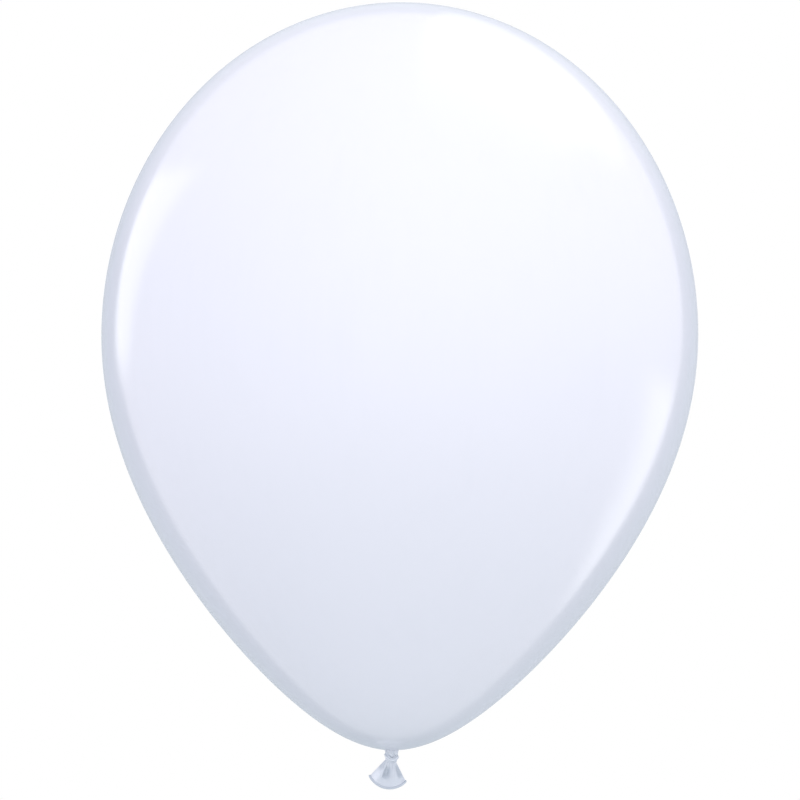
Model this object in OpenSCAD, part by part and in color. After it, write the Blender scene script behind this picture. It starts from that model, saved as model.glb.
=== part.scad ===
// Round latex party balloon, inflated and tied.
// The origin is where a ribbon is tied: on the balloon's axis, at the foot of the inflated envelope.
// +Z runs up through the crown. Lengths are in millimetres and angles in degrees.

/* [Envelope] */
// Widest diameter of the inflated envelope
balloon_d = 280; // [240:1:300]
// Height from the widest ring up to the crown
crown_h = 156; // [130:1:175]
// Height from the widest ring down to the neck
taper_h = 195; // [165:1:220]
// How much leaner than an ellipse the taper gets towards the neck
taper_lean = 0.345; // [0.2:0.005:0.4]
// Thickness of the latex film
film = 0.3; // [0.25:0.05:0.4]

/* [Neck and knot] */
// Width of the gathered neck where it leaves the envelope
neck_d = 6; // [5.6:0.1:6.2]
// Width over the knot
knot_d = 6.8; // [6.4:0.1:7.2]
// Height of the knot
knot_h = 2.6; // [2.5:0.1:2.8]
// Lean of the loop that wraps round the knot
loop_lean = 9; // [0:1:12]

/* [Tail] */
// Length of the tail from the point in the knot where its sides would meet down to the lip
tail_slant = 16.4; // [15:0.1:18]
// How much shorter than that the tail is along its two sides
side_rise = 2.2; // [1:0.1:3]
// Half of the angle that the flattened tail fans out to
fan_half = 35; // [32:1:38]
// Angle that the tail leans over to the -X side
fan_lean = 7.5; // [0:0.5:10]
// Depth of the open mouth from front to back, between the middles of the lip
mouth_depth = 6.8; // [6.6:0.1:8]
// Thickness of the rolled lip
lip_d = 1.3; // [1:0.1:1.5]

/* [Hidden] */

latex = [0.95, 0.96, 0.985];
thick_latex = [0.86, 0.89, 0.93];

outline_steps = 32;      // straight steps in each half of the envelope's outline
play = 0.3;              // gap between pieces that move on each other
seat_play = 0.25;        // the same gap round the small gathered ends
gather_r = 0.95;         // radius of the film where the knot gathers it
waist_r = 0.65;          // radius of the throat's waist, just below the knot
throat_half = 1.5;       // half the width between the throat's two lower corners
skirt_top = 7.3;         // distance from the apex to the skirt's upper edge
skirt_top_depth = 4;     // depth of the skirt's upper edge from front to back
ring_points = 48;        // points round the mouth
skirt_rings = 8;         // rings down the skirt
lip_sides = 10;          // sides of the rolled lip's round section

neck_pivot = 0.3;                                // the neck sways here
knot_pivot = neck_pivot - neck_d / 2 - 0.2;      // the knot nods here
knot_top = knot_pivot - 0.2;
knot_mid = knot_top - knot_h / 2;
throat_pivot = knot_top - knot_h - 0.3;          // the throat sways here
skirt_pivot = throat_pivot - 2.2;                // the skirt nods here
apex = throat_pivot + 4.6;                       // where the fan's two sides would meet
core_r = 1.9;

$fn = 96;

// Radius and height of the envelope's outline. turn is -90 at the neck, 0 at the widest
// ring and 90 at the crown. inset moves the outline inwards, for the inside of the film.
function outline_point(turn, inset) =
    let (
        r = balloon_d / 2 - inset,
        h = (turn < 0 ? taper_h : crown_h) - inset,
        lean = turn < 0 ? taper_lean : 0
    )
    [r * cos(turn) * (1 - lean * pow(sin(turn), 2)), taper_h + h * sin(turn)];

function outline(inset) = [
    for (i = [-outline_steps : outline_steps]) outline_point(90 * i / outline_steps, inset)
];

function reversed(list) = [for (i = [len(list) - 1 : -1 : 0]) list[i]];

// A point on the flattened, fan-shaped tail. share is 0 at the skirt's upper edge and 1 at
// the lip, around runs once round the mouth, and out moves the point off the middle of the film.
function fan_point(share, around, out) =
    let (
        lip_along = tail_slant - side_rise * pow(cos(around), 2),
        along = skirt_top + share * (lip_along - skirt_top),
        depth = (skirt_top_depth + share * (mouth_depth - skirt_top_depth)) / 2,
        half = fan_half + out / along * 180 / PI,
        swing = half * cos(around) - fan_lean
    )
    [along * sin(swing), -(depth + out) * sin(around), apex - along * cos(swing)];

// One closed strip of quads between ring i and ring j, where each ring has n points.
function strip(i, j, n) = [
    for (k = [0 : n - 1]) [i * n + k, i * n + (k + 1) % n, j * n + (k + 1) % n, j * n + k]
];

// The inflated film, closed but for the round hole where the neck leaves it.
module envelope() {
    color(latex)
    difference() {
        rotate_extrude() polygon(concat(outline(0), reversed(outline(film))));
        cylinder(h = 4, r = neck_d / 2 + play, center = true);
    }
}

// The short neck between the envelope and the knot, with a round end at each pivot.
module neck() {
    color(thick_latex) {
        translate([0, 0, neck_pivot]) sphere(neck_d / 2);
        translate([0, 0, knot_pivot]) sphere(gather_r);
        translate([0, 0, knot_pivot])
            cylinder(h = neck_pivot - knot_pivot, r1 = gather_r * 0.8, r2 = neck_d * 0.4);
    }
}

// The strand that runs straight down through the knot, with a seat for each neighbour.
module knot_core() {
    color(thick_latex)
    difference() {
        translate([0, 0, knot_mid]) cylinder(h = knot_h, r = core_r, center = true);
        for (z = [knot_pivot, throat_pivot])
            translate([0, 0, z]) sphere(gather_r + seat_play);
    }
}

// The turn of the overhand knot that wraps round the core.
module knot_loop() {
    strand_r = knot_h / 2 - 0.1;
    color(thick_latex)
    translate([0, 0, knot_mid])
    difference() {
        rotate([0, loop_lean, 0])
            rotate_extrude() translate([knot_d / 2 - strand_r, 0]) circle(strand_r);
        cylinder(h = 2 * knot_h, r = core_r, center = true);
    }
}

// The gathered film between the knot and the open skirt, spreading out to both sides.
module throat() {
    color(thick_latex) {
        translate([0, 0, throat_pivot]) sphere(gather_r);
        hull() {
            translate([0, 0, throat_pivot - gather_r / 3]) sphere(waist_r, $fn = 32);
            for (side = [-1, 1])
                translate([side * throat_half, 0, skirt_pivot]) sphere(gather_r, $fn = 32);
        }
    }
}

// The open, fan-shaped end of the balloon. Its rings run down the outside of the film and
// back up the inside.
module mouth_skirt() {
    shares = [for (i = [0 : skirt_rings]) i / skirt_rings];
    points = concat(
        [for (share = shares, k = [0 : ring_points - 1])
            fan_point(share, 360 * k / ring_points, film / 2)],
        [for (share = reversed(shares), k = [0 : ring_points - 1])
            fan_point(share, 360 * k / ring_points, -film / 2)]
    );
    rings = 2 * (skirt_rings + 1);
    color(latex)
        polyhedron(points, [for (i = [0 : rings - 1]) each strip(i, (i + 1) % rings, ring_points)]);
}

// The bead of rolled film round the mouth.
module rolled_lip() {
    function rim(k) = fan_point(1, 360 * k / ring_points, 0);
    function unit(v) = v / norm(v);
    points = [
        for (k = [0 : ring_points - 1])
            let (
                along = unit(rim(k + 1) - rim(k - 1)),
                down = unit(rim(k) - [0, 0, apex]),
                side = unit(cross(along, down))
            )
            for (s = [0 : lip_sides - 1])
                let (turn = 360 * s / lip_sides)
                rim(k) + lip_d / 2 * (cos(turn) * unit(cross(side, along)) + sin(turn) * side)
    ];
    color(thick_latex)
        polyhedron(
            points,
            [for (k = [0 : ring_points - 1]) each strip(k, (k + 1) % ring_points, lip_sides)]
        );
}

envelope();
neck();
knot_core();
knot_loop();
throat();
mouth_skirt();
rolled_lip();
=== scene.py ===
"""A round latex party balloon, inflated and tied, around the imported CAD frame.

Lengths are in metres. Each film is one closed mesh with a real thickness. The envelope meets the
neck along one ring, and the throat meets the skirt along another, and both sides of a ring follow
the same body. The neck and the throat end inside the knot.
"""

import math

import bpy
import numpy as np
from mathutils import Matrix, Vector


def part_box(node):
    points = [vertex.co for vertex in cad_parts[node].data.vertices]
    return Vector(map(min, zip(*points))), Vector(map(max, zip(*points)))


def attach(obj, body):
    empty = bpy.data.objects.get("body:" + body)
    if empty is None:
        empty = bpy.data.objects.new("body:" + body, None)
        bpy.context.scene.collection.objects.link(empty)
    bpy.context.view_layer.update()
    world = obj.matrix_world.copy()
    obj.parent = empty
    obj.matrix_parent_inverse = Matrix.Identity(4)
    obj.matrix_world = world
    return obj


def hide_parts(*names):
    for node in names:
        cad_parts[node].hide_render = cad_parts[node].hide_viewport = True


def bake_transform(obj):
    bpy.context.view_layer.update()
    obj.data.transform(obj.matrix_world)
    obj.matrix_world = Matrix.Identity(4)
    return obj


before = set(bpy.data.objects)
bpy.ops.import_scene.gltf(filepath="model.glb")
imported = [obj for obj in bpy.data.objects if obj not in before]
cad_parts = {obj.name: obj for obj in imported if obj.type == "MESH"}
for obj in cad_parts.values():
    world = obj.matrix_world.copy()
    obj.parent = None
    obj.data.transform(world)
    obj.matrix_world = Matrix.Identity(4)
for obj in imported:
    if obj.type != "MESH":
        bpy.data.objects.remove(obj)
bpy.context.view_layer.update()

MM = 0.001

# ---------------------------------------------------------------- sizes, from the CAD frame

envelope_low, envelope_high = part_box("envelope")
BALLOON_R = (envelope_high.x - envelope_low.x) / 2
CROWN_Z = envelope_high.z
TAPER_H = CROWN_Z * 195 / 351           # height of the widest ring above the neck
CROWN_H = CROWN_Z - TAPER_H
TAPER_LEAN = 0.345                      # how much leaner than an ellipse the taper gets
NECK_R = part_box("neck")[1].x + 0.1 * MM
KNOT_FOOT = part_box("knot_core")[0].z
FAN_APEX = KNOT_FOOT + 4.3 * MM         # where the two sides of the tail would meet
LIP_R = 0.60 * MM
LIP_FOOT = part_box("rolled_lip")[0].z
TAIL_SLANT = FAN_APEX - LIP_FOOT - LIP_R
SIDE_RISE = 1.5 * MM                    # how much shorter the tail is along its sides
FAN_HALF = math.radians(35)
FAN_LEAN = math.radians(7.5)
SKIRT_TOP = 7.0 * MM                    # slant distance at which throat and skirt meet
MOUTH_HALF_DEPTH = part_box("mouth_skirt")[1].y - 0.15 * MM

ENVELOPE_FILM = 0.3 * MM
TAIL_FILM = 0.24 * MM
COLUMNS = 224                           # points round each film


# ---------------------------------------------------------------- mesh building

def unit(vectors):
    return vectors / np.maximum(np.linalg.norm(vectors, axis=-1, keepdims=True), 1e-12)


def grid_normals(grid, rows_close=False):
    """Unit normals of a grid of points. Its columns run round and close on themselves."""
    if rows_close:
        along = np.roll(grid, -1, axis=0) - np.roll(grid, 1, axis=0)
    else:
        along = np.gradient(grid, axis=0)
    around = np.roll(grid, -1, axis=1) - np.roll(grid, 1, axis=1)
    return unit(np.cross(around, along))


def strip(lower, upper):
    """Quads between two rings of point numbers. They face outwards if upper is further along."""
    return np.stack([lower, np.roll(lower, -1), np.roll(upper, -1), upper], axis=1).tolist()


def fan(ring, pole):
    """Triangles that close a ring of point numbers with one point."""
    return [[a, b, pole] for a, b in zip(ring.tolist(), np.roll(ring, -1).tolist())]


def make_piece(name, points, faces, normals, material, shares=None):
    """A smooth mesh object. shares are named values from 0 to 1, one for each point."""
    mesh = bpy.data.meshes.new(name)
    mesh.from_pydata(np.asarray(points).tolist(), [], faces)
    mesh.validate(verbose=False)
    mesh.shade_smooth()
    mesh.normals_split_custom_set_from_vertices(np.asarray(normals).tolist())
    for share_name, values in (shares or {}).items():
        attribute = mesh.attributes.new(share_name, "FLOAT", "POINT")
        attribute.data.foreach_set("value", np.asarray(values, np.float32).ravel())
    piece = bpy.data.objects.new(name, mesh)
    bpy.context.scene.collection.objects.link(piece)
    mesh.materials.append(material)
    return piece


def film_piece(name, outer, thickness, material, shares, pole=None):
    """A film of one thickness. outer is its outside, in rows from one edge to the other. With
    pole, the last row closes on that point."""
    rows, columns = outer.shape[:2]
    normals = grid_normals(outer)
    inner = outer - normals * thickness
    count = rows * columns
    points = np.concatenate([outer.reshape(-1, 3), inner.reshape(-1, 3)])
    point_normals = np.concatenate([normals.reshape(-1, 3), -normals.reshape(-1, 3)])
    number = np.arange(2 * count).reshape(2, rows, columns)
    faces = []
    for row in range(rows - 1):
        faces += strip(number[0, row], number[0, row + 1])
        faces += strip(number[1, row + 1], number[1, row])
    faces += strip(number[1, 0], number[0, 0])
    values = {key: np.concatenate([value.ravel()] * 2) for key, value in shares.items()}
    if pole is None:
        faces += strip(number[0, -1], number[1, -1])
    else:
        up = unit(pole - outer[-1].mean(axis=0))
        points = np.concatenate([points, [pole, pole - up * thickness]])
        point_normals = np.concatenate([point_normals, [up, -up]])
        faces += fan(number[0, -1], 2 * count)
        faces += [face[::-1] for face in fan(number[1, -1], 2 * count + 1)]
        values = {key: np.append(value, [value[-1]] * 2) for key, value in values.items()}
    return make_piece(name, points, faces, point_normals, material, values)


def path_frames(path, closed=False):
    """The direction of a path at each of its points, and two directions across it that don't
    twist from point to point."""
    if closed:
        ahead = unit(np.roll(path, -1, axis=0) - np.roll(path, 1, axis=0))
    else:
        ahead = unit(np.gradient(path, axis=0))
    side = np.empty_like(path)
    start = np.cross(ahead[0], [0.0, 0.0, 1.0])
    side[0] = start / np.linalg.norm(start)
    for i in range(1, len(path)):
        moved = side[i - 1] - ahead[i] * (side[i - 1] @ ahead[i])
        side[i] = moved / np.linalg.norm(moved)
    return ahead, side, np.cross(ahead, side)


def tube_piece(name, path, radius, material, shares, columns=64, closed=False):
    """A solid tube along a path. radius(share along, angle) gives its radius."""
    ahead, side, up = path_frames(path, closed)
    rows = len(path)
    angle = np.linspace(0, 2 * np.pi, columns, endpoint=False)
    share = np.arange(rows) / (rows if closed else rows - 1)
    share_grid, angle_grid = np.meshgrid(share, angle, indexing="ij")
    size = radius(share_grid, angle_grid)[..., None]
    out = np.cos(angle)[None, :, None] * side[:, None] + np.sin(angle)[None, :, None] * up[:, None]
    grid = path[:, None] + size * out
    normals = grid_normals(grid, closed)
    number = np.arange(rows * columns).reshape(rows, columns)
    faces = []
    for row in range(rows if closed else rows - 1):
        faces += strip(number[row], number[(row + 1) % rows])
    points, point_normals = grid.reshape(-1, 3), normals.reshape(-1, 3)
    values = {key: value(share_grid, angle_grid).ravel() for key, value in shares.items()}
    if not closed:
        points = np.concatenate([points, [path[0], path[-1]]])
        point_normals = np.concatenate([point_normals, [-ahead[0], ahead[-1]]])
        faces += [face[::-1] for face in fan(number[0], rows * columns)]
        faces += fan(number[-1], rows * columns + 1)
        values = {key: np.append(value, [value[0], value[-1]]) for key, value in values.items()}
    return make_piece(name, points, faces, point_normals, material, values)


def smooth(value, low, high):
    """0 below low, 1 above high, and a smooth step between them."""
    share = np.clip((value - low) / (high - low), 0, 1)
    return share * share * (3 - 2 * share)


def bump_at(value, centre, width):
    """A smooth hump of height 1."""
    return np.exp(-(((value - centre) / width) ** 2))


def curve_through(points, count):
    """A smooth path through a few points, as evenly spaced points (Catmull-Rom)."""
    knots = np.asarray(points, float)
    padded = np.concatenate([[2 * knots[0] - knots[1]], knots, [2 * knots[-1] - knots[-2]]])
    fine = []
    for a, b, c, d in zip(padded, padded[1:], padded[2:], padded[3:]):
        t = np.linspace(0, 1, 24, endpoint=False)[:, None]
        fine.append(
            0.5 * (2 * b + (c - a) * t + (2 * a - 5 * b + 4 * c - d) * t**2
                   + (3 * b - a - 3 * c + d) * t**3)
        )
    fine = np.concatenate([*fine, [knots[-1]]])
    length = np.concatenate([[0], np.cumsum(np.linalg.norm(np.diff(fine, axis=0), axis=1))])
    wanted = np.linspace(0, length[-1], count)
    return np.stack([np.interp(wanted, length, fine[:, axis]) for axis in range(3)], axis=1)


# ---------------------------------------------------------------- materials

class Nodes:
    """A short way to write a node tree."""

    def __init__(self, tree):
        self.tree = tree
        tree.nodes.clear()

    def add(self, kind, inputs=None, **settings):
        node = self.tree.nodes.new(kind)
        for key, value in settings.items():
            setattr(node, key, value)
        for key, value in (inputs or {}).items():
            if isinstance(value, bpy.types.NodeSocket):
                self.tree.links.new(value, node.inputs[key])
            else:
                node.inputs[key].default_value = value
        return node

    def maths(self, operation, a, b, clamp=False):
        node = self.add("ShaderNodeMath", {0: a, 1: b}, operation=operation, use_clamp=clamp)
        return node.outputs[0]

    def noise(self, vector, scale, detail=3.0):
        node = self.add("ShaderNodeTexNoise", {"Vector": vector, "Scale": scale, "Detail": detail})
        return node.outputs["Fac"]

    def stretched(self, vector, scale):
        node = self.add("ShaderNodeVectorMath", {0: vector, 1: scale}, operation="MULTIPLY")
        return node.outputs[0]

    def colour_mix(self, share, a, b):
        node = self.add(
            "ShaderNodeMix", {"Factor": share, 6: a, 7: b}, data_type="RGBA", blend_type="MIX"
        )
        return node.outputs[2]

    def dot(self, a, b):
        return self.add("ShaderNodeVectorMath", {0: a, 1: b}, operation="DOT_PRODUCT").outputs[1]

    def step(self, value, low, high):
        """0 at low, 1 at high and a smooth step between them."""
        node = self.add(
            "ShaderNodeMapRange", {"Value": value, "From Min": low, "From Max": high},
            interpolation_type="SMOOTHSTEP",
        )
        return node.outputs["Result"]

    def ranged(self, value, low, high):
        node = self.add("ShaderNodeMapRange", {"Value": value, "To Min": low, "To Max": high})
        return node.outputs["Result"]


def latex(name, thin, dense, see_through, roughness, streak, grain):
    """Latex film. The colour goes from thin to dense with a point value, which holds the film's own
    thickness and also painted shade in creases, grooves and valleys and painted light on lit folds.
    Clouds and the drip streaks of dipping each shift it by up to streak. see_through is the share
    of light that passes the film, and grain is the depth of its fine relief."""
    material = bpy.data.materials.new(name)
    material.use_nodes = True
    n = Nodes(material.node_tree)
    place = n.add("ShaderNodeTexCoord").outputs["Object"]
    # The point value: film thickness, with painted shade and painted light.
    density_and_shade = n.add("ShaderNodeAttribute", attribute_name="thickness_and_painted_shade").outputs["Fac"]

    clouds = n.noise(place, 26.0, 4.0)
    streaks = n.noise(n.stretched(place, (170.0, 170.0, 9.0)), 1.0, 3.0)
    mottle = n.noise(place, 900.0, 2.0)
    uneven = n.maths("ADD", n.ranged(clouds, -streak, streak), n.ranged(streaks, -streak, streak))
    uneven = n.maths("ADD", uneven, n.ranged(mottle, -0.4 * streak, 0.4 * streak))
    share = n.maths("ADD", density_and_shade, uneven, clamp=True)
    colour = n.colour_mix(share, thin, dense)

    relief = n.maths("ADD", n.noise(place, 2600.0, 3.0), n.maths("MULTIPLY", mottle, 2.0))
    bump = n.add(
        "ShaderNodeBump", {"Height": relief, "Strength": 0.35, "Distance": grain}
    ).outputs["Normal"]
    dull = n.maths("ADD", n.ranged(clouds, -0.05, 0.05), n.ranged(density_and_shade, 0.0, 0.16))
    dull = n.maths("ADD", dull, roughness, clamp=True)
    front = n.add(
        "ShaderNodeBsdfPrincipled",
        {"Base Color": colour, "Roughness": dull, "IOR": 1.52, "Normal": bump},
    ).outputs[0]
    through = n.add("ShaderNodeBsdfTranslucent", {"Color": colour, "Normal": bump}).outputs[0]
    mixed = n.add("ShaderNodeMixShader", {"Fac": see_through, 1: front, 2: through}).outputs[0]
    n.add("ShaderNodeOutputMaterial", {"Surface": mixed})
    return material


film_latex = latex(
    "latex_film", thin=(0.91, 0.918, 0.97, 1), dense=(0.70, 0.74, 0.81, 1),
    see_through=0.22, roughness=0.12, streak=0.05, grain=0.02 * MM,
)
neck_latex = latex(
    "latex_gathered", thin=(0.86, 0.89, 0.94, 1), dense=(0.49, 0.55, 0.61, 1),
    see_through=0.14, roughness=0.26, streak=0.07, grain=0.03 * MM,
)
skirt_latex = latex(
    "latex_skirt", thin=(0.86, 0.89, 0.94, 1), dense=(0.49, 0.55, 0.61, 1),
    see_through=0.14, roughness=0.28, streak=0.07, grain=0.03 * MM,
)
# The lip's colours are darker for its rolled layers, and also painted darker as shade under the
# downward-facing bead.
lip_latex = latex(
    "latex_lip", thin=(0.68, 0.72, 0.78, 1), dense=(0.44, 0.49, 0.55, 1),
    see_through=0.05, roughness=0.32, streak=0.08, grain=0.03 * MM,
)


# ---------------------------------------------------------------- envelope

GATHER_TWIST = 260.0                    # turn of the neck's folds, radians per metre
FILLET = 0.9 * MM                       # where the neck's wall rolls out into the envelope


def folds(angle):
    """The uneven folds of the gathered film, from about -1 to 1."""
    return (
        0.50 * np.cos(11 * angle + 0.6)
        + 0.32 * np.cos(7 * angle + 2.1)
        + 0.22 * np.cos(17 * angle - 1.2)
    )


def outline(turn):
    """Radius and height of the envelope. turn is -90 degrees at the neck and 90 at the crown."""
    height = np.where(turn < 0, TAPER_H, CROWN_H)
    lean = np.where(turn < 0, TAPER_LEAN, 0.0)
    radius = BALLOON_R * np.cos(turn) * (1 - lean * np.sin(turn) ** 2)
    return radius, TAPER_H + height * np.sin(turn)


def envelope_profile():
    """Points (radius, height) from the neck's wall, round the fillet and up to the crown."""
    turns = np.linspace(-np.pi / 2, np.pi / 2, 20001)
    radius, height = outline(turns)
    start = int(np.argmax(radius > NECK_R + FILLET))
    length = np.concatenate([[0], np.cumsum(np.hypot(np.diff(radius), np.diff(height)))])
    stops = [length[start]]
    while stops[-1] < length[-1] - 1.6 * MM:
        here = np.interp(stops[-1], length, radius)
        upper = stops[-1] > length[-1] / 2
        step = 0.055 * here if upper else 0.045 * here
        stops.append(stops[-1] + min(max(step, 1.3 * MM if upper else 0.22 * MM), 3.6 * MM))
    stops = [stop for stop in stops if stop < length[-1] - 0.8 * MM]
    body = np.stack([np.interp(stops, length, radius), np.interp(stops, length, height)], axis=1)
    bend = np.linspace(0, np.pi / 2, 9)[:-1]
    centre = np.array([NECK_R + FILLET, body[0, 1] - FILLET])
    corner = centre + FILLET * np.stack([-np.cos(bend), np.sin(bend)], axis=1)
    return np.concatenate([corner, body])


profile = envelope_profile()
NECK_RING_Z = profile[0, 1]
around = np.linspace(0, 2 * np.pi, COLUMNS, endpoint=False)


def fold_depth(radius):
    """Depth of the folds: full on the neck's wall, fading out over the foot of the envelope."""
    return 0.17 * MM * np.exp(-np.maximum(radius - NECK_R, 0) / (4.2 * MM))


def make_envelope():
    radius, height = profile[:, 0][:, None], profile[:, 1][:, None]
    slope = np.gradient(profile, axis=0)
    out = unit(np.stack([slope[:, 1], -slope[:, 0]], axis=1))
    depth = fold_depth(profile[:, 0])[:, None] * folds(around + GATHER_TWIST * NECK_RING_Z)[None]
    ring_r = radius + out[:, 0][:, None] * depth
    ring_z = height + out[:, 1][:, None] * depth
    outer = np.stack(
        [ring_r * np.cos(around), ring_r * np.sin(around), ring_z * np.ones(COLUMNS)], axis=2
    )
    rise = outer[..., 2]
    flat = np.hypot(outer[..., 0], outer[..., 1])
    # Darker towards the neck: the film is thicker there, and this is also painted shade on the
    # envelope's underside.
    foot = (1 - smooth(rise, -1 * MM, 26 * MM)) ** 2 * (1 - 0.35 * smooth(flat, 3 * MM, 40 * MM))
    # Round the neck the film turns to the neck's denser tone, with painted shade in the fold
    # troughs.
    gather = (rise < TAPER_H) * (1 - smooth(flat, NECK_R, NECK_R + 3 * MM))
    density_and_shade = 0.28 * foot + gather * (0.40 - 0.28 * folds(around + GATHER_TWIST * NECK_RING_Z))
    crown = (rise > TAPER_H) * (0.16 * bump_at(flat, 0, 7 * MM) + 0.08 * bump_at(flat, 0, 24 * MM))
    piece = film_piece(
        "envelope_film", outer, ENVELOPE_FILM, film_latex,
        {"thickness_and_painted_shade": density_and_shade + crown}, pole=np.array([0.0, 0.0, CROWN_Z]),
    )
    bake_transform(piece)
    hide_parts("envelope")


make_envelope()


# ---------------------------------------------------------------- neck

def make_neck():
    """The gathered, slightly twisted film between the envelope and the knot."""
    top, foot = NECK_RING_Z, -3.5 * MM
    levels = np.linspace(top, foot, 40)[:, None]
    stops = [foot, -3.1 * MM, -2.5 * MM, -1.5 * MM, top]
    radii = [1.8 * MM, 2.3 * MM, 2.7 * MM, 2.95 * MM, NECK_R]
    radius = np.interp(levels, stops, radii)
    depth = 0.17 * MM + 0.12 * MM * smooth(-levels, -top, 1.8 * MM)
    # The rows run down here, so the columns run the other way for the film to face outwards.
    ring = radius + depth * folds(-around + GATHER_TWIST * levels)
    outer = np.stack(
        [ring * np.cos(-around), ring * np.sin(-around), levels * np.ones(COLUMNS)], axis=2
    )
    # shade is the gathered film's own denser tone, with painted shade in the fold troughs.
    shade = 0.34 - 0.20 * folds(-around + GATHER_TWIST * levels)
    piece = film_piece("neck_gathers", outer, TAIL_FILM, neck_latex, {"thickness_and_painted_shade": shade})
    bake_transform(piece)
    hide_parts("neck")


make_neck()


# ---------------------------------------------------------------- knot

def make_knot():
    """An overhand knot pulled tight: a core that runs down and a strand that wraps round it."""
    core = curve_through(
        [(0.1, 0.0, -2.7), (0.2, 0.1, -3.6), (0.45, 0.1, -4.6), (0.35, 0.0, -5.9)], 48
    ) * MM

    def core_radius(share, angle):
        ends = np.sqrt(np.clip(1 - np.abs(2 * share - 1) ** 6, 0, 1))
        flute = 1 + 0.07 * np.cos(6 * angle + 5 * share) + 0.05 * np.cos(9 * angle - 3 * share)
        return 2.0 * MM * flute * (0.35 + 0.65 * ends)

    # The core is painted darker in the grooves between its flutes, as shade.
    piece = tube_piece(
        "knot_core_strand", core, core_radius, neck_latex,
        {"thickness_and_painted_shade": lambda share, angle: 0.5 - 0.2 * np.cos(6 * angle + 5 * share)},
    )
    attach(piece, "knot")
    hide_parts("knot_core")

    # Degrees round the knot from +X, distance from the axis and height, in millimetres.
    turns = [
        (110, 1.2, -2.4), (145, 2.0, -2.3), (180, 2.40, -2.35), (212, 2.45, -2.9),
        (240, 2.4, -3.75), (265, 2.35, -4.3), (290, 2.35, -4.35), (315, 2.4, -3.85),
        (345, 2.45, -3.35), (385, 2.4, -3.45), (430, 2.3, -3.8), (480, 2.2, -4.2),
        (530, 2.1, -4.5), (575, 1.9, -4.9), (620, 1.5, -5.2), (660, 0.9, -5.3),
    ]
    strand = curve_through(
        [(r * math.cos(math.radians(a)), r * math.sin(math.radians(a)), z) for a, r, z in turns],
        180,
    ) * MM

    def strand_radius(share, angle):
        ends = smooth(share, 0, 0.07) * (1 - smooth(share, 0.9, 1.0))
        flute = (
            1 + 0.06 * np.cos(5 * angle + 9 * share) + 0.045 * np.cos(8 * angle - 6 * share + 1)
            + 0.02 * np.cos(13 * angle + 14 * share)
        )
        return 1.02 * MM * flute * (0.3 + 0.7 * ends) * (1 - 0.15 * smooth(share, 0.5, 1.0))

    # The strand is painted darker in the grooves between its flutes, as shade.
    piece = tube_piece(
        "knot_loop_wrap", strand, strand_radius, neck_latex,
        {"thickness_and_painted_shade": lambda share, angle: 0.32 - 0.26 * np.cos(5 * angle + 9 * share)},
    )
    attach(piece, "knot")
    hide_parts("knot_loop")


make_knot()


# ---------------------------------------------------------------- tail

def pleats(swing, along, front):
    """How far the film of the flattened tail is pushed out at this swing, in degrees from
    straight down, and slant distance. The two faces of the tail have their own pleats."""
    near = along / MM
    if front:
        tuck = smooth(swing, -22.5, -19) * (1 - smooth(swing, -15, 0))
        tuck = -1.5 * tuck * smooth(near, 5.0, 9.0) * (1 - smooth(near, 10.4, 13.0))
        ridge = 0.50 * bump_at(swing, 4.5, 3.6) * smooth(near, 4.5, 8.5)
        ridge = ridge * (1 - smooth(near, 12, 16))
        side = -1.1 * smooth(swing, 14, 18.5) * smooth(near, 5.0, 8.0)
        side = side * (1 - smooth(near, 10.0, 12.8))
        flap = 0.55 * bump_at(swing, -28, 6) * smooth(near, 5.5, 9.0) * (1 - smooth(near, 12, 16))
        return (tuck + ridge + side + flap) * MM
    fold = -1.0 * bump_at(swing, 6, 7) * smooth(near, 5.0, 8.0) * (1 - smooth(near, 11, 14))
    rib = 0.5 * bump_at(swing, -8, 4) * smooth(near, 5.0, 9.0) * (1 - smooth(near, 12, 16))
    crease = -0.6 * bump_at(swing, -24, 5) * smooth(near, 5.5, 8.5) * (1 - smooth(near, 11, 14))
    return (fold + rib + crease) * MM


def stacked_film_and_painted_shading(swing, near, facing):
    """How much darker or lighter the tail's film is at each point. It is denser where a pleat lies
    folded on itself behind it, and besides that painted: shade in the tuck's valley, on the right
    side facet and in the back face's fold, and light on the left flap and on a stripe right of the
    middle.
    """
    tuck = smooth(swing, -22, -18) * (1 - smooth(swing, -5, 0.5)) * smooth(near, 4.8, 8.0)
    tuck = tuck * (1 - smooth(near, 10.4, 13.4)) * (1 + 0.25 * bump_at(swing, -19, 2.5))
    side = smooth(swing, 14, 19) * smooth(near, 4.8, 6.5) * (1 - smooth(near, 11.0, 13.0))
    flap = (1 - smooth(swing, -32, -24)) * smooth(near, 8, 10.5)
    light = bump_at(swing, 10, 5) * smooth(near, 5, 8)
    # tuck and back hold stacked film and painted shade, side is painted shade, and flap and light
    # are painted light.
    front = 0.14 * tuck + 0.26 * side - 0.46 * flap - 0.06 * light
    back = 0.38 * bump_at(swing, 6, 7) * smooth(near, 5, 7) * (1 - smooth(near, 10.5, 13))
    return np.where(facing > 0, front, back) * smooth(np.abs(facing), 0.0, 0.3)


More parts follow.
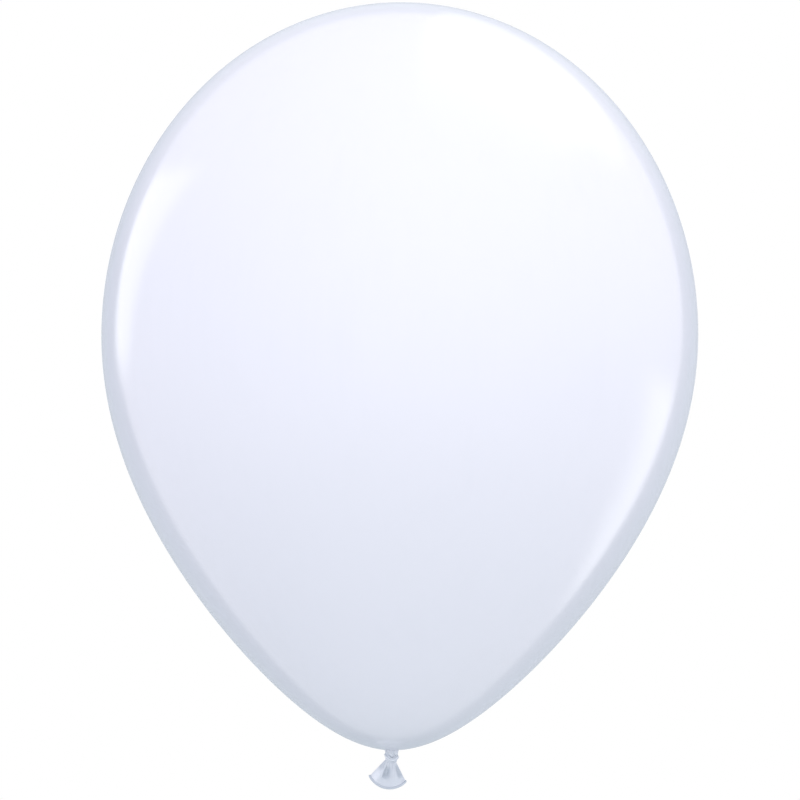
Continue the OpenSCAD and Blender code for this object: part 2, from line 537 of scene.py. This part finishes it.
def tail_grid(shares):
    """Points of the tail's outer face, and how dark its film is from thickness and painted shade,
    in rows at these shares of the way from the throat's lower end, at 0, to the lip, at 1. In the
    throat the share is under 0."""
    share = np.asarray(shares)[:, None]
    turn = around[None, :]
    lip_along = TAIL_SLANT - SIDE_RISE * np.cos(turn) ** 2
    along = SKIRT_TOP + share * (lip_along - SKIRT_TOP)
    along = np.where(share < 0, SKIRT_TOP * (1 + share), along)
    depth = np.interp(
        along, np.array([3.2, 4.4, 5.6, 7.0, 11.0, 16.4]) * MM,
        np.array([1.25, 1.35, 1.6, 2.0, 2.75, MOUTH_HALF_DEPTH / MM]) * MM,
    )
    swing = FAN_HALF * np.cos(turn) - FAN_LEAN
    swing_degrees = np.degrees(swing)
    facing = np.sin(turn)
    push = np.where(
        facing > 0, pleats(swing_degrees, along, True), pleats(swing_degrees, along, False)
    ) * smooth(np.abs(facing), 0.05, 0.75)
    gathers = 0.10 * MM * np.cos(17 * turn + 0.4) * smooth(-along, -12 * MM, -5 * MM)
    y = -(depth * facing + np.sign(facing) * push) - gathers * facing
    grid = np.stack([along * np.sin(swing), y, FAN_APEX - along * np.cos(swing)], axis=2)
    inside = smooth(-along, -8.5 * MM, -4.0 * MM)
    # Near the knot the film is painted lighter, against the crevice's shade, and painted darker in
    # the troughs of its gathers. The pleats are painted lighter where raised and darker where sunk.
    density_and_shade = 0.50 - 0.14 * inside - 0.12 * np.cos(17 * turn + 0.4) * inside
    density_and_shade += stacked_film_and_painted_shading(swing_degrees, along / MM, facing) - 0.06 * push / MM
    return grid, np.clip(density_and_shade, 0, 1)


def make_tail():
    throat_rows = np.linspace(-0.53, 0, 30)
    grid, density_and_shade = tail_grid(throat_rows)
    piece = film_piece("throat_gathers", grid, TAIL_FILM, neck_latex, {"thickness_and_painted_shade": density_and_shade})
    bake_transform(piece)
    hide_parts("throat")

    grid, density_and_shade = tail_grid(np.linspace(0, 1, 72))
    piece = film_piece("skirt_film", grid, TAIL_FILM, skirt_latex, {"thickness_and_painted_shade": density_and_shade})
    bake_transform(piece)
    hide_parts("mouth_skirt")

    rim, _ = tail_grid([1.0])
    rim = rim[0] - grid_normals(grid)[-1] * TAIL_FILM / 2

    def bead_radius(share, angle):
        roll = 1 + 0.03 * np.cos(3 * angle + 2 * np.pi * share) + 0.018 * np.cos(7 * angle + 1)
        return LIP_R * roll * (1 + 0.05 * np.cos(10 * np.pi * share + 1) * np.cos(angle))

    piece = tube_piece(
        "lip_bead", rim, bead_radius, lip_latex,
        {"thickness_and_painted_shade": lambda share, angle: 0.55 + 0.25 * np.cos(3 * angle + 2 * np.pi * share)},
        columns=28, closed=True,
    )
    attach(piece, "tail")
    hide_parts("rolled_lip")


make_tail()


# ---------------------------------------------------------------- studio

# Directions from the balloon: the soft light in front, and the middle of the opening behind.
KEY = (0.20, -0.87, 0.45)
REAR_AXIS = (0.0, 0.997, -0.078)

# Light that is added to the tent, or taken off it, in each region.
OPENING_TOP_LIGHT = (0.42, 0.40, 0.38)
LOWER_TENT_LIGHT = (-0.44, -0.36, -0.44)
FRONT_LIGHT = (0.27, 0.27, 0.20)
LEFT_PANEL_LIGHT = (1.05, 1.05, 1.0)
RIGHT_PANEL_LIGHT = (1.15, 1.15, 1.10)
TOP_PANEL_LIGHT = (0.65, 0.65, 0.65)
BACKDROP_BEHIND = (1, 1, 1, 1)
BACKDROP_ELSEWHERE = (0.74, 0.77, 0.80, 1)

# Tones of the tent by the angle from REAR_AXIS: an open, grey back with a clear edge.
REAR_TONES = [
    (0.0, (0.74, 0.80, 0.85)), (20.0, (0.54, 0.62, 0.67)), (30.0, (0.30, 0.39, 0.44)),
    (40.2, (0.10, 0.17, 0.20)), (42.2, (1.06, 1.06, 1.14)), (62.0, (1.05, 1.05, 1.14)),
    (80.0, (1.06, 1.06, 1.16)), (180.0, (1.12, 1.12, 1.24)),
]
RAMP_GAIN = 2.0                         # a colour ramp holds no tone above 1


def make_world():
    """White behind the object, and pale grey seen from elsewhere. Light and reflections come from
    a white tent: darker below, with a grey opening behind, bright panels beside it and a soft glow
    in front."""
    world = bpy.data.worlds.new("studio")
    bpy.context.scene.world = world
    world.use_nodes = True
    n = Nodes(world.node_tree)
    direction = n.add("ShaderNodeTexCoord").outputs["Generated"]
    parts = n.add("ShaderNodeSeparateXYZ", {0: direction})
    x, y, z = (parts.outputs[axis] for axis in "XYZ")

    def degrees(value):
        return n.maths("MULTIPLY", value, 180 / math.pi)

    def times(*factors):
        product = factors[0]
        for factor in factors[1:]:
            product = n.maths("MULTIPLY", product, factor)
        return product

    def light_sum(base, share, tone):
        scaled = n.add("ShaderNodeVectorMath", {0: tone, "Scale": share}, operation="SCALE")
        return n.add("ShaderNodeVectorMath", {0: base, 1: scaled.outputs[0]}).outputs[0]

    off_rear = degrees(n.maths("ARCCOSINE", n.dot(direction, REAR_AXIS), 0.0))
    # The opening reaches a little further down.
    drop = n.maths("MINIMUM", z, 0.0)
    off_rear = n.maths("ADD", off_rear, n.maths("MULTIPLY", drop, 8.0))
    ramp = n.add("ShaderNodeValToRGB", {"Fac": n.maths("DIVIDE", off_rear, 180.0)})
    elements = ramp.color_ramp.elements
    elements.remove(elements[1])        # a new ramp has two, and the loop reuses the first
    for i, (angle, tone) in enumerate(REAR_TONES):
        element = elements.new(angle / 180) if i else elements[0]
        element.position = angle / 180
        element.color = (*(level / RAMP_GAIN for level in tone), 1)
    tent = n.add("ShaderNodeVectorMath", {0: ramp.outputs["Color"], "Scale": RAMP_GAIN},
                 operation="SCALE").outputs[0]

    # The opening is lighter at its top, and the tent is darker below.
    opening = n.step(off_rear, 41.8, 40.2)
    tent = light_sum(tent, times(opening, n.step(z, 0.08, 0.45)), OPENING_TOP_LIGHT)
    below = times(n.maths("SUBTRACT", 1.0, opening), n.step(z, -0.28, -0.95))
    tent = light_sum(tent, below, LOWER_TENT_LIGHT)

    front = n.maths("POWER", n.maths("MAXIMUM", n.dot(direction, KEY), 0.0), 2.0)
    tent = light_sum(tent, front, FRONT_LIGHT)

    # Angles above the level, and to the left and right of straight back.
    rise = degrees(n.maths("ARCSINE", z, 0.0))
    left = degrees(n.maths("ARCTAN2", n.maths("MULTIPLY", x, -1.0), y))
    left_panel = times(
        n.step(left, 37.0, 39.2),
        n.step(n.maths("SUBTRACT", left, n.maths("MULTIPLY", rise, 0.42)), 59.0, 51.0),
        n.step(rise, -8.0, -1.0),
        n.step(n.maths("SUBTRACT", rise, n.maths("MULTIPLY", left, 0.44)), 4.0, 0.0),
    )
    tent = light_sum(tent, left_panel, LEFT_PANEL_LIGHT)

    right = degrees(n.maths("ARCTAN2", x, y))
    right_panel = times(
        n.step(n.maths("SUBTRACT", right, n.maths("MULTIPLY", rise, 0.15)), 42.0, 50.0),
        n.step(n.maths("SUBTRACT", right, n.maths("MULTIPLY", rise, 0.40)), 82.0, 60.0),
        n.step(rise, -3.0, -9.0), n.step(rise, -36.0, -27.0),
    )
    tent = light_sum(tent, right_panel, RIGHT_PANEL_LIGHT)

    top_panel = times(
        n.step(x, 0.05, 0.09), n.step(x, 0.78, 0.66), n.step(z, 0.42, 0.50), n.step(y, -0.3, 0.2)
    )
    tent = light_sum(tent, top_panel, TOP_PANEL_LIGHT)

    tent = n.add("ShaderNodeBackground", {"Color": tent, "Strength": 1.0})
    turned_away = n.step(n.dot(direction, (0.0, 1.0, 0.0)), 0.97, 0.80)
    backdrop = n.colour_mix(turned_away, BACKDROP_BEHIND, BACKDROP_ELSEWHERE)
    white = n.add("ShaderNodeBackground", {"Color": backdrop, "Strength": 1.0})
    seen = n.add("ShaderNodeLightPath").outputs["Is Camera Ray"]
    both = n.add("ShaderNodeMixShader", {"Fac": seen, 1: tent.outputs[0], 2: white.outputs[0]})
    n.add("ShaderNodeOutputWorld", {"Surface": both.outputs[0]})


def make_key():
    """A large soft light in front. The film's mirror gloss doesn't show it."""
    light = bpy.data.lights.new("key", "AREA")
    light.shape = "DISK"
    light.size = 0.8
    light.energy = 1.0
    lamp = bpy.data.objects.new("key", light)
    place = Vector(KEY) * 1.6
    turn = (-place).to_track_quat("-Z", "Y").to_matrix().to_4x4()
    lamp.matrix_world = Matrix.Translation(Vector((0, 0, TAPER_H)) + place) @ turn
    lamp.visible_camera = False
    lamp.visible_glossy = False
    bpy.context.scene.collection.objects.link(lamp)


def make_floor():
    """A plain pale floor, far below, because the balloon hangs in the air."""
    drop = 4.5
    bpy.ops.mesh.primitive_circle_add(
        vertices=96, radius=14.0, fill_type="NGON", location=(0, 0, LIP_FOOT - drop)
    )
    floor = bpy.context.object
    floor.name = "floor"
    material = bpy.data.materials.new("floor")
    material.use_nodes = True
    shader = material.node_tree.nodes["Principled BSDF"]
    shader.inputs["Base Color"].default_value = (0.56, 0.585, 0.61, 1)
    shader.inputs["Roughness"].default_value = 0.8
    floor.data.materials.append(material)
    # The floor is seen, but the balloon's light and reflections come from the tent alone.
    floor.visible_diffuse = floor.visible_glossy = floor.visible_shadow = False
    floor.visible_transmission = False


def make_camera():
    """A long lens level with the balloon, a touch turned, so that the balloon leans right."""
    frame_side = 0.3760                 # what the square frame takes in at the balloon
    distance = 2.2
    target = Vector((0.0007, 0, 0.1645))
    roll = 0.0195
    data = bpy.data.cameras.new("camera")
    data.sensor_width = 36
    data.lens = 36 * distance / frame_side
    data.clip_end = 100
    camera = bpy.data.objects.new("camera", data)
    level = Matrix.Rotation(math.pi / 2, 4, "X")
    turned = Matrix.Rotation(roll, 4, "Z")
    camera.matrix_world = Matrix.Translation(target - Vector((0, distance, 0))) @ level @ turned
    bpy.context.scene.collection.objects.link(camera)
    bpy.context.scene.camera = camera


make_world()
make_key()
make_floor()
make_camera()
bpy.context.scene.view_settings.view_transform = "Standard"
